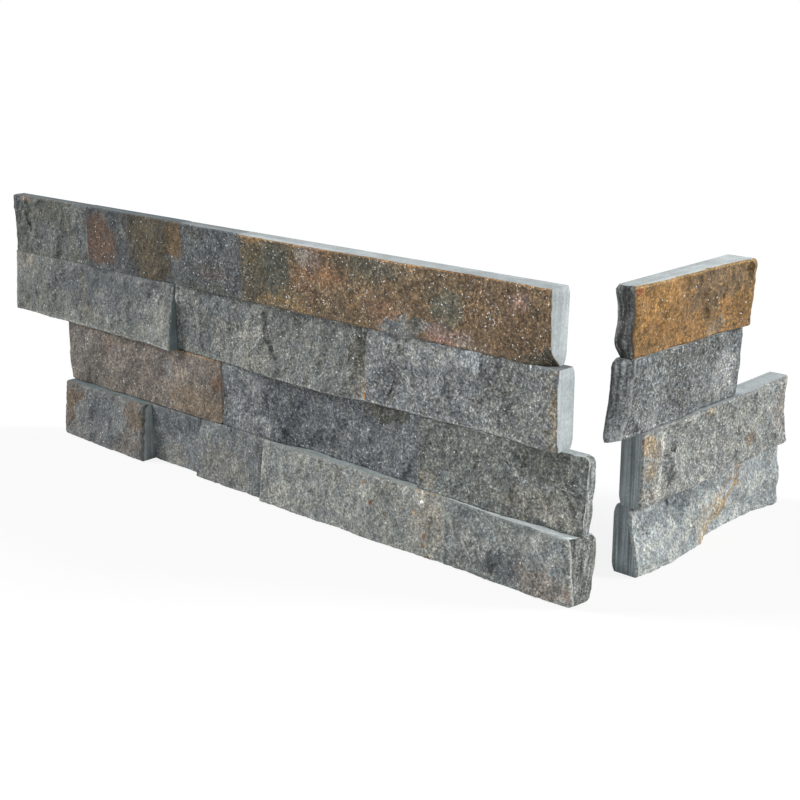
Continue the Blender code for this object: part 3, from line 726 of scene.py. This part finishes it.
class StoneSkin:
    """Fine skin of one stone, in millimetres, its face looking along -Y."""

    def __init__(self, name, look, seed):
        self.look = look
        self.seed = seed
        self.packed = PackedStone(name)
        self.low = self.packed.low
        self.high = self.packed.high
        self.length = self.high[0] - self.low[0]
        self.height = self.high[2] - self.low[2]
        self.columns = whole_steps(self.length)
        self.rows = whole_steps(self.height)
        self.natural_side = look.natural.side if look.natural else 0
        self.rings = (*(NATURAL_RINGS if look.natural else SAWN_RINGS), 1)
        self.read_face()
        self.ends = {-1: self.end_lines(-1, self.low[0]), 1: self.end_lines(1, self.high[0])}

    def read_face(self):
        columns = max(4, round(self.length / READ_PITCH))
        rows = max(4, round(self.height / READ_PITCH))
        self.arrises = {}
        for side, outer in ((-1, self.low[0]), (1, self.high[0])):
            flat = np.full(rows, outer - side * READ_INSET)
            self.arrises[side] = self.packed.arris(side, rows) if side == self.natural_side else flat
        self.read = softened(self.packed.split_face(columns, rows, self.arrises[-1], self.arrises[1]))
        face = cubic_along(self.read, self.columns)
        self.face = cubic_along(face.T, self.rows).T
        self.rear_read = self.packed.rear()
        self.rear = cubic_along(self.rear_read, self.rows)

    def end_lines(self, side, outer):
        """Where the stone ends at one side, by height and by ring."""
        if side == self.natural_side:
            return self.natural_end(side, np.array(self.rings))
        return np.full((self.rows + 1, len(self.rings)), outer + side * JOINT_FILL)

    def natural_end(self, side, shares):
        """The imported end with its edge, its reach and fine relief, rounded at the rear."""
        look = self.look.natural
        column = 0 if side < 0 else -1
        rears = cubic_along(self.rear_read, len(self.read[0]) - 1)
        end = softened(self.packed.end(side, self.read[column], rears))
        end = cubic_along(cubic_along(end, self.rows).T, END_COLUMNS).T
        places = np.linspace(0, 1, end.shape[1])
        end = np.array([np.interp(shares, places, line) for line in end])
        edge = cubic_along(self.arrises[side], self.rows) + side * (0.4 - look.edge_in)
        end += (edge - end[:, 0])[:, None] * (1 - shares) ** 2
        reach = cubic_along(np.array(look.reach, float), self.rows)[:, None]
        end += side * reach * smooth_step(shares / 0.6)
        ups = np.linspace(0, self.height, self.rows + 1)[:, None]
        depths = (self.rear - self.face[column])[:, None] * shares
        rough = layered(END_LAYERS, depths + 50, ups, self.seed + 60)
        round_off = arris_drop((1 - shares) * END_DEPTH, END_ROUND)
        return end + side * (END_ROUGH * rough * smooth_step(shares / 0.1) - END_WORN * round_off)

    def x_at(self, column, row, ring):
        left = self.ends[-1][row, ring] + self.outline_inset(-1, row, ring)
        right = self.ends[1][row, ring] - self.outline_inset(1, row, ring)
        return left + (right - left) * column / self.columns

    def outline_inset(self, end_side, row, ring):
        """How far the end stands in, for its lean and beside a rounded or a chipped corner."""
        up = row / self.rows * self.height
        inset = 0 * up
        for side, foot, top in self.look.leans:
            if side == end_side:
                inset -= foot + (top - foot) * row / self.rows
        chipped = max(CHIP_LEFT, 1 - self.rings[ring] / CHIP_REACH)
        for corners, share in ((self.look.corners, 1), (self.look.chips, chipped)):
            for side, level, radius in corners:
                if side == end_side:
                    inset += arris_drop(self.height - up if level else up, radius * share)
        return inset

    def z_at(self, row):
        """Height of a row, out to the filled joint but not below the floor."""
        low = max(self.low[2] - JOINT_FILL, 0)
        return low + (self.high[2] + JOINT_FILL - low) * row / self.rows

    def front(self):
        """The face's points as a grid, its relief as a share of the highest, and how far in each is."""
        column, row = np.meshgrid(np.arange(self.columns + 1), np.arange(self.rows + 1), indexing="ij")
        x, z = self.x_at(column, row, 0), self.z_at(row)
        along, up = x - self.low[0], z - self.low[2]
        relief, grain = fine_relief(along, up, self.look, self.seed)
        across, above = self.length / self.columns, self.height / self.rows
        distances = (
            column * across, (self.columns - column) * across, row * above, (self.rows - row) * above,
        )
        drop, edge = edge_wear(distances, along, up, self.look, self.seed)
        calm = 0.4 + 0.6 * smooth_step(np.minimum.reduce(distances) / CALM_EDGE)
        y = self.face - relief * calm - own_shape(along, up, self.look) + drop
        highest = sum(height for _, height in FINE_LAYERS)
        return np.stack([x, y, z], -1), grain / highest, edge

    def rim(self):
        """Places round the face's edge, counter-clockwise from its lower left corner."""
        columns, rows = self.columns, self.rows
        places = [(column, 0) for column in range(columns)]
        places += [(columns, row) for row in range(rows)]
        places += [(column, rows) for column in range(columns, 0, -1)]
        places += [(0, row) for row in range(rows, 0, -1)]
        return np.array(places).T

    def build(self):
        """The skin's points with their attributes, quads, seven-sided faces and slots."""
        front, relief, edge = self.front()
        rim = self.rim()
        rim_y = front[rim[0], rim[1], 1]
        points = [front.reshape(-1, 3)]
        behind = [np.zeros(edge.size)]
        numbers = np.arange(edge.size).reshape(edge.shape)
        quads = [grid_quads(numbers)]
        slots = [np.zeros(len(quads[0]), int)]
        ring = numbers[rim[0], rim[1]]
        side_slots = self.side_slots(rim)
        count = numbers.size
        for number, share in enumerate(self.rings[1:-1], 1):
            y = rim_y + (self.rear[rim[1]] - rim_y) * share
            points.append(np.stack([self.x_at(rim[0], rim[1], number), y, self.z_at(rim[1])], -1))
            behind.append(y - rim_y)
            following = count + np.arange(len(y))
            quads.append(band_quads(ring, following))
            slots.append(side_slots)
            ring = following
            count += len(y)
        rear, rear_numbers = self.rear_grid(count)
        count += rear_numbers.size
        points.append(rear.reshape(-1, 3))
        behind.append(np.full(rear_numbers.size, REAR_BEHIND))
        quads.append(grid_quads(rear_numbers)[:, ::-1])
        slots.append(np.full(len(quads[-1]), BED_SLOT))
        coarse = rear_numbers[rim[0, ::REAR_STEP] // REAR_STEP, rim[1, ::REAR_STEP] // REAR_STEP]
        joins = transition_faces(ring, coarse)
        slots.append(side_slots[::REAR_STEP])
        unset = np.zeros(count - edge.size)
        attributes = {
            "relief": np.concatenate([relief.reshape(-1), unset]),
            "behind": np.concatenate(behind),
            "edge": np.concatenate([edge.reshape(-1), unset]),
        }
        return np.concatenate(points), attributes, np.concatenate(quads), joins, np.concatenate(slots)

    def side_slots(self, rim):
        """Material slot of each face of a band round the stone."""
        slots = np.full(rim.shape[1], BED_SLOT)
        right = (rim[0] == self.columns) & (rim[1] < self.rows)
        left = (rim[0] == 0) & (rim[1] > 0)
        for side, places in ((1, right), (-1, left)):
            slots[places] = NATURAL_SLOT if side == self.natural_side else END_SLOT
        return slots

    def rear_grid(self, first):
        """The rear's points as a grid, and their numbers from the first."""
        columns = np.arange(0, self.columns + 1, REAR_STEP)
        rows = np.arange(0, self.rows + 1, REAR_STEP)
        column, row = np.meshgrid(columns, rows, indexing="ij")
        points = np.stack([self.x_at(column, row, -1), self.rear[row], self.z_at(row)], -1)
        return points, first + np.arange(column.size).reshape(column.shape)


def grid_quads(numbers):
    """Quads of a grid of vertex numbers, seen counter-clockwise from -Y."""
    corners = (numbers[:-1, :-1], numbers[1:, :-1], numbers[1:, 1:], numbers[:-1, 1:])
    return np.stack(corners, -1).reshape(-1, 4)


def band_quads(near, far):
    """Quads between two closed rings of vertex numbers."""
    return np.stack([near, far, np.roll(far, -1), np.roll(near, -1)], -1)


def transition_faces(fine, coarse):
    """Seven-sided faces from a fine ring to one with a point for each of the rear's steps."""
    steps = fine.reshape(-1, REAR_STEP)
    after = np.roll(fine, -REAR_STEP).reshape(-1, REAR_STEP)[:, :1]
    back = steps[:, :0:-1]
    return np.concatenate([steps[:, :1], coarse[:, None], np.roll(coarse, -1)[:, None], after, back], 1)


def skin_mesh(name, points, attributes, quads, joins, slots):
    mesh = bpy.data.meshes.new(name)
    mesh.vertices.add(len(points))
    mesh.vertices.foreach_set("co", points.astype(np.float32).ravel())
    loops = np.concatenate([quads.ravel(), joins.ravel()])
    mesh.loops.add(len(loops))
    mesh.loops.foreach_set("vertex_index", loops.astype(np.int32))
    starts = np.concatenate([
        np.arange(len(quads)) * 4,
        quads.size + np.arange(len(joins)) * joins.shape[1],
    ])
    mesh.polygons.add(len(starts))
    mesh.polygons.foreach_set("loop_start", starts.astype(np.int32))
    mesh.polygons.foreach_set("material_index", slots.astype(np.int32))
    mesh.update(calc_edges=True)
    mesh.shade_smooth()
    mesh.set_sharp_from_angle(angle=math.radians(SHARP_ANGLE))
    for title, values in attributes.items():
        attribute = mesh.attributes.new(title, "FLOAT", "POINT")
        attribute.data.foreach_set("value", values.astype(np.float32))
    return mesh


class Nodes:
    """A node tree, with short calls for the nodes that the materials and the world use."""

    def __init__(self, tree):
        self.tree = tree

    def feed(self, socket, value):
        if isinstance(value, bpy.types.NodeSocket):
            self.tree.links.new(value, socket)
        elif isinstance(value, tuple) and socket.type == "RGBA":
            socket.default_value = (*value, 1)
        else:
            socket.default_value = value

    def node(self, kind, inputs, **settings):
        node = self.tree.nodes.new(kind)
        for name, value in settings.items():
            setattr(node, name, value)
        for key, value in inputs.items():
            self.feed(node.inputs[key], value)
        return node

    def math(self, operation, a, b):
        return self.node("ShaderNodeMath", {0: a, 1: b}, operation=operation).outputs[0]

    def times(self, a, b):
        return self.math("MULTIPLY", a, b)

    def vector(self, operation, a, b=(0, 0, 0)):
        node = self.node("ShaderNodeVectorMath", {0: a, 1: b}, operation=operation)
        return node.outputs["Value" if operation in ("LENGTH", "DOT_PRODUCT") else "Vector"]

    def moved(self, vector, offset):
        return self.vector("ADD", vector, offset)

    def scaled(self, vector, factor):
        node = self.node("ShaderNodeVectorMath", {"Vector": vector, "Scale": factor}, operation="SCALE")
        return node.outputs["Vector"]

    def smooth(self, value, low, high):
        """0 below low and 1 above high, or the other way where low is the larger."""
        inputs = {"Value": value, "From Min": low, "From Max": high}
        return self.node("ShaderNodeMapRange", inputs, interpolation_type="SMOOTHSTEP").outputs["Result"]

    def mix(self, factor, a, b):
        return self.node("ShaderNodeMix", {0: factor, 6: a, 7: b}, data_type="RGBA").outputs[2]

    def noise(self, vector, wavelength, detail=2, colour=False):
        inputs = {"Vector": vector, "Scale": 1 / wavelength, "Detail": detail}
        return self.node("ShaderNodeTexNoise", inputs).outputs[1 if colour else 0]

    def cells(self, vector, size):
        """Two random shares for each small cell."""
        cells = self.node("ShaderNodeTexVoronoi", {"Vector": vector, "Scale": 1 / size})
        parts = self.node("ShaderNodeSeparateColor", {"Color": cells.outputs["Color"]})
        return parts.outputs[0], parts.outputs[1]

    def weighted(self, *terms):
        """Sum of values, each times its weight."""
        total = 0.0
        for value, weight in terms:
            inputs = {0: value, 1: weight, 2: total}
            total = self.node("ShaderNodeMath", inputs, operation="MULTIPLY_ADD").outputs[0]
        return total

    def lit(self, colour, *terms):
        """The colour made lighter or darker by values whose weights count in stops."""
        return self.scaled(colour, self.math("POWER", 2.0, self.weighted(*terms)))

    def varied(self, colour, *terms):
        """The same, with the values about 0.5."""
        middle = sum(weight for _, weight in terms) / 2
        return self.lit(colour, *terms, (1.0, -middle))

    def mapping(self, vector, turn=(0, 0, 0), scale=(1, 1, 1), place=(0, 0, 0)):
        inputs = {"Vector": vector, "Location": place, "Rotation": turn, "Scale": scale}
        return self.node("ShaderNodeMapping", inputs).outputs["Vector"]

    def attribute(self, name):
        return self.node("ShaderNodeAttribute", {}, attribute_name=name).outputs["Fac"]

    def seen(self):
        """1 for what the camera sees, also by reflection or through glass, and 0 for light."""
        path = self.node("ShaderNodeLightPath", {}).outputs
        seen = self.math("MAXIMUM", path["Is Camera Ray"], path["Is Glossy Ray"])
        return self.math("MAXIMUM", seen, path["Is Transmission Ray"])


class Shader(Nodes):
    """A material's nodes."""

    def __init__(self, name):
        self.material = bpy.data.materials.new(name)
        self.material.use_nodes = True
        super().__init__(self.material.node_tree)
        self.surface = self.tree.nodes["Principled BSDF"]

    def finished(self, colour, roughness, shine, height, bump):
        """The material with its surface fed. Bump is a strength and a height."""
        inputs = {"Strength": bump[0], "Distance": bump[1] * MM, "Height": height}
        self.feed(self.surface.inputs["Base Color"], colour)
        self.feed(self.surface.inputs["Roughness"], roughness)
        self.feed(self.surface.inputs["Specular IOR Level"], shine)
        self.feed(self.surface.inputs["Normal"], self.node("ShaderNodeBump", inputs).outputs["Normal"])
        return self.material


class StoneShader(Shader):
    """The nodes of a stone's material, with the place on the stone that its patterns take."""

    def __init__(self, title, name, low):
        super().__init__(title)
        coordinates = self.node("ShaderNodeTexCoord", {}).outputs["Object"]
        scale, start = (1 / MM,) * 3, tuple(-value for value in low)
        # Millimetres along, in depth and up from the stone's lower left corner
        self.place = self.mapping(coordinates, (0, 0, panel_turn(name)), scale, start)


def patch_mask(shader, place, ragged, mark):
    """1 in the middle of a patch, fading to 0 at its border, which breaks up along the grains."""
    offset = shader.vector("SUBTRACT", place, (mark.along, 0, mark.up))
    share = shader.vector("MULTIPLY", offset, (1 / mark.wide, 0, 1 / mark.high))
    return shader.smooth(shader.math("ADD", shader.vector("LENGTH", share), ragged), 1.15, 0.75)


def vein_mask(shader, place, mark):
    """1 along a line from one point to another, fading to 0 at three quarters of its width from it."""
    run = Vector((mark.to_along - mark.along, 0, mark.to_up - mark.up))
    offset = shader.vector("SUBTRACT", place, (mark.along, 0, mark.up))
    flat = shader.vector("MULTIPLY", offset, (1, 0, 1))
    share = shader.vector("DOT_PRODUCT", flat, tuple(run / run.length_squared))
    share = shader.math("MAXIMUM", shader.math("MINIMUM", share, 1.0), 0.0)
    nearest = shader.scaled(tuple(run), share)
    distance = shader.vector("LENGTH", shader.vector("SUBTRACT", flat, nearest))
    return shader.smooth(distance, 0.75 * mark.wide, 0.2 * mark.wide)


def marked(shader, look, grain):
    """The body colour with the stone's marks on it, their borders broken by noise."""
    middle = (0.5, 0.5, 0.5)
    near = shader.vector("SUBTRACT", shader.noise(shader.place, NEAR_WAVE, 3, colour=True), middle)
    far = shader.vector("SUBTRACT", shader.noise(shader.place, FAR_WAVE, 2, colour=True), middle)
    wavy = shader.moved(shader.place, shader.scaled(near, VEIN_WANDER))
    wandering = shader.moved(shader.place, shader.scaled(near, PATCH_WANDER[0]))
    wandering = shader.moved(wandering, shader.scaled(far, PATCH_WANDER[1]))
    ragged = shader.weighted((shader.math("SUBTRACT", grain, 0.5), 1.6))
    colour = look.body
    for mark in look.marks:
        if isinstance(mark, Vein):
            mask = vein_mask(shader, wavy, mark)
        elif max(mark.wide, mark.high) < SPOT:
            mask = patch_mask(shader, shader.place, 0.0, mark)
        else:
            mask = patch_mask(shader, wandering, ragged, mark)
        colour = shader.mix(shader.times(mask, mark.strength), colour, mark.colour)
    return colour


def split_material(shader, look, shift):
    """Split quartzite: mottled and stained, with grain, pale and dark flecks, painted light and shade on
    the ridges and hollows of its fine relief, and crystals painted near white as glints.
    """
    own = shader.moved(shader.place, shift)
    drawn_out = shader.mapping(own, (0, math.radians(look.streak), 0), (1, 1, GRAIN_STRETCH))
    cloud = shader.noise(own, CLOUD)
    mottle = shader.noise(drawn_out, MOTTLE, 3)
    grain = shader.noise(drawn_out, GRAIN, 3)
    speck, _ = shader.cells(own, SPECK)
    tint = shader.mix(shader.smooth(mottle, 0.4, 0.6), COOL_TINT, WARM_TINT)
    colour = shader.vector("MULTIPLY", marked(shader, look, grain), tint)
    stops = GRAIN_STOPS + 2.4 * look.flecks
    colour = shader.varied(
        colour, (cloud, CLOUD_STOPS), (mottle, MOTTLE_STOPS), (grain, stops), (speck, stops / 4),
    )
    # Painted light and shade: ridges of the fine relief lighter, its hollows darker
    colour = shader.lit(colour, (shader.attribute("relief"), RELIEF_SHADE_STOPS), (1.0, -RELIEF_SHADE_STOPS / 4))
    minerals = shader.noise(shader.moved(own, MINERAL_SHIFT), MINERAL, 3)
    pale = shader.times(shader.smooth(minerals, *PALE_MINERALS), 0.3 + 0.4 * look.flecks)
    dark = shader.times(shader.smooth(minerals, *DARK_MINERALS), 0.5 + 0.3 * look.flecks)
    colour = shader.mix(pale, colour, look.pale)
    colour = shader.mix(dark, colour, look.dark)
    worn = shader.weighted((shader.attribute("edge"), 1), (grain, 3), (mottle, 4))
    colour = shader.mix(shader.times(shader.smooth(worn, 4.1, 3.1), WORN), colour, look.pale)
    return flecked(shader, colour, look.flecks, look.sparkle, own, grain)


def flecked(shader, colour, fleck_share, sparkle, own, grain):
    """The finished material, with flecks and crystals over the colour and fine roughness under it. Crystals
    that glitter are painted near white as glints, and are smoother as well.
    """
    flecks = shader.noise(shader.moved(own, FLECK_SHIFT), FLECK)
    pale = shader.smooth(flecks, *PALE_FLECKS)
    dark = shader.smooth(flecks, *DARK_FLECKS)
    colour = shader.lit(colour, (pale, 0.3 + 1.6 * fleck_share), (dark, -0.8 - fleck_share))
    crystals, strength = shader.cells(shader.moved(own, CRYSTAL_SHIFT), CRYSTAL_SIZE)
    clusters = shader.smooth(shader.noise(own, CRYSTAL_CLUSTER), 0.4, 0.6)
    threshold = shader.weighted((1.0, 1 - 0.012 * sparkle), (clusters, -0.05 * sparkle))
    glitter = shader.math("GREATER_THAN", crystals, threshold)
    # Painted glints: glittering crystals are painted near white
    colour = shader.mix(shader.times(glitter, strength), colour, CRYSTAL_GLINT)
    roughness = shader.weighted((1.0, 0.62), (grain, 0.25), (glitter, -0.4))
    height = shader.weighted((grain, 1), (flecks, 0.6))
    return shader.finished(colour, roughness, SPLIT_SHINE, height, SPLIT_BUMP)


def natural_material(shader, look, shift):
    """A broken end across the layers of the stone: wavy layers that run up it, pale and dark."""
    own = shader.moved(shader.place, shift)
    wave = shader.noise(shader.mapping(own, scale=(0.3, 0.6, 1)), 9)
    layers = shader.noise(shader.mapping(own, scale=(0.2, 1, 0.12)), 1.5, 3)
    grain = shader.noise(own, 1.2, 3)
    speck, _ = shader.cells(own, SPECK)
    colour = shader.varied(look.body, (layers, 4.0), (wave, 1.6), (grain, 3.6), (speck, 0.9))
    speckle = shader.weighted((layers, 1), (grain, 0.7))
    colour = shader.mix(shader.smooth(speckle, 0.94, 1.06), colour, look.pale)
    colour = shader.mix(shader.smooth(speckle, 0.80, 0.68), colour, look.dark)
    behind = shader.attribute("behind")
    depth = shader.weighted((behind, 1), (wave, 7), (grain, 2), (1.0, -4.5))
    for band in look.bands:
        offset = shader.math("ABSOLUTE", shader.math("SUBTRACT", depth, band.depth), 0.0)
        mask = shader.smooth(offset, band.wide, 0.4 * band.wide)
        colour = shader.mix(shader.times(mask, band.strength), colour, band.colour)
    near_face = shader.smooth(shader.weighted((behind, 1), (grain, 2.4), (wave, 1.6)), 3.2, 2.3)
    colour = shader.mix(shader.times(near_face, 0.85), colour, look.edge)
    return flecked(shader, colour, END_FLECKS, END_SPARKLE, own, grain)


def sawn_material(shader, base, layering, arris_colour):
    """Sawn quartzite: pale dust, streaks along its layers, a stained line at the split face."""
    streak = shader.noise(shader.mapping(shader.place, scale=(0.02, 1, 0.02)), 1.0, 3)
    broad_streak = shader.noise(shader.mapping(shader.place, scale=(0.03, 1, 0.05)), 4, 1)
    dust = shader.noise(shader.place, 1.3, 4)
    cloud = shader.noise(shader.place, 14)
    colour = shader.varied(base, (streak, layering), (broad_streak, layering), (dust, 1.2), (cloud, 1.2))
    near_face = shader.smooth(shader.weighted((shader.attribute("behind"), 1), (dust, -2)), -0.3, -1.1)
    colour = shader.mix(shader.times(near_face, 0.6), colour, arris_colour)
    roughness = shader.weighted((1.0, 0.55), (dust, 0.3))
    height = shader.weighted((streak, 1), (dust, 1))
    return shader.finished(colour, roughness, SAWN_SHINE, height, SAWN_BUMP)


def add_stone(name, look, seed):
    skin = StoneSkin(name, look, seed)
    mesh = skin_mesh(name + "_skin", *skin.build())
    mesh.transform(skin.packed.turn.inverted() @ Matrix.Scale(MM, 4))
    shift = tuple(seed * share for share in SEED_SHIFT)

    def shader(part):
        return StoneShader(f"{name}_{part}", name, skin.low)

    mesh.materials.append(split_material(shader("split"), look, shift))
    mesh.materials.append(sawn_material(shader("bed"), look.bed, 1, look.pale))
    mesh.materials.append(sawn_material(shader("end"), *look.end, look.pale))
    if look.natural:
        mesh.materials.append(natural_material(shader("natural"), look.natural, shift))
    stone = bpy.data.objects.new(name + "_skin", mesh)
    bpy.context.scene.collection.objects.link(stone)
    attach(stone, "root")
    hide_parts(name)


def add_stones():
    for number, (name, look) in enumerate(LOOKS.items()):
        add_stone(name, look, 100 * number)


def add_floor():
    """A wide pale floor that the camera sees as white except where the object shades it."""
    shader = Shader("floor")
    shader.feed(shader.surface.inputs["Base Color"], FLOOR_COLOUR)
    shader.feed(shader.surface.inputs["Roughness"], 0.9)
    shader.feed(shader.surface.inputs["Specular IOR Level"], 0)
    white = shader.node("ShaderNodeEmission", {"Strength": 1.0})
    share = shader.times(shader.seen(), FLOOR_WHITE)
    inputs = {0: share, 1: shader.surface.outputs[0], 2: white.outputs[0]}
    blend = shader.node("ShaderNodeMixShader", inputs)
    shader.feed(shader.tree.nodes["Material Output"].inputs["Surface"], blend.outputs[0])
    bpy.ops.mesh.primitive_plane_add(size=FLOOR_SIZE)
    floor = bpy.context.object
    floor.name = "floor"
    floor.location.z = FLOOR_HEIGHT
    floor.data.materials.append(shader.material)


def add_world():
    """Light from all round, with a background that the camera sees as white."""
    world = bpy.data.worlds.new("studio")
    bpy.context.scene.world = world
    world.use_nodes = True
    nodes = Nodes(world.node_tree)
    inputs = {"Value": nodes.seen(), "To Min": WORLD_LIGHT, "To Max": 1.0}
    strength = nodes.node("ShaderNodeMapRange", inputs).outputs["Result"]
    background = nodes.tree.nodes["Background"]
    nodes.feed(background.inputs["Color"], (1, 1, 1))
    nodes.feed(background.inputs["Strength"], strength)


def add_lamps():
    for name, (way, angle, strength) in LAMPS.items():
        lamp = bpy.data.lights.new(name, "SUN")
        lamp.angle = math.radians(angle)
        lamp.energy = math.pi * strength
        holder = bpy.data.objects.new(name, lamp)
        holder.rotation_euler = Vector(way).to_track_quat("Z", "Y").to_euler()
        bpy.context.scene.collection.objects.link(holder)


def add_camera():
    camera = bpy.data.cameras.new("camera")
    camera.lens = CAMERA_LENS
    camera.sensor_width = CAMERA_SENSOR
    camera.clip_start = CAMERA_NEAR
    camera.clip_end = CAMERA_FAR
    holder = bpy.data.objects.new("camera", camera)
    turn = Matrix.Rotation(CAMERA_YAW, 4, "Z") @ Matrix.Rotation(math.pi / 2 - CAMERA_PITCH, 4, "X")
    holder.matrix_world = Matrix.Translation(CAMERA_PLACE) @ turn @ Matrix.Rotation(CAMERA_ROLL, 4, "Z")
    bpy.context.scene.collection.objects.link(holder)
    bpy.context.scene.camera = holder


bpy.context.scene.view_settings.view_transform = "Standard"
add_camera()
add_stones()
add_floor()
add_world()
add_lamps()
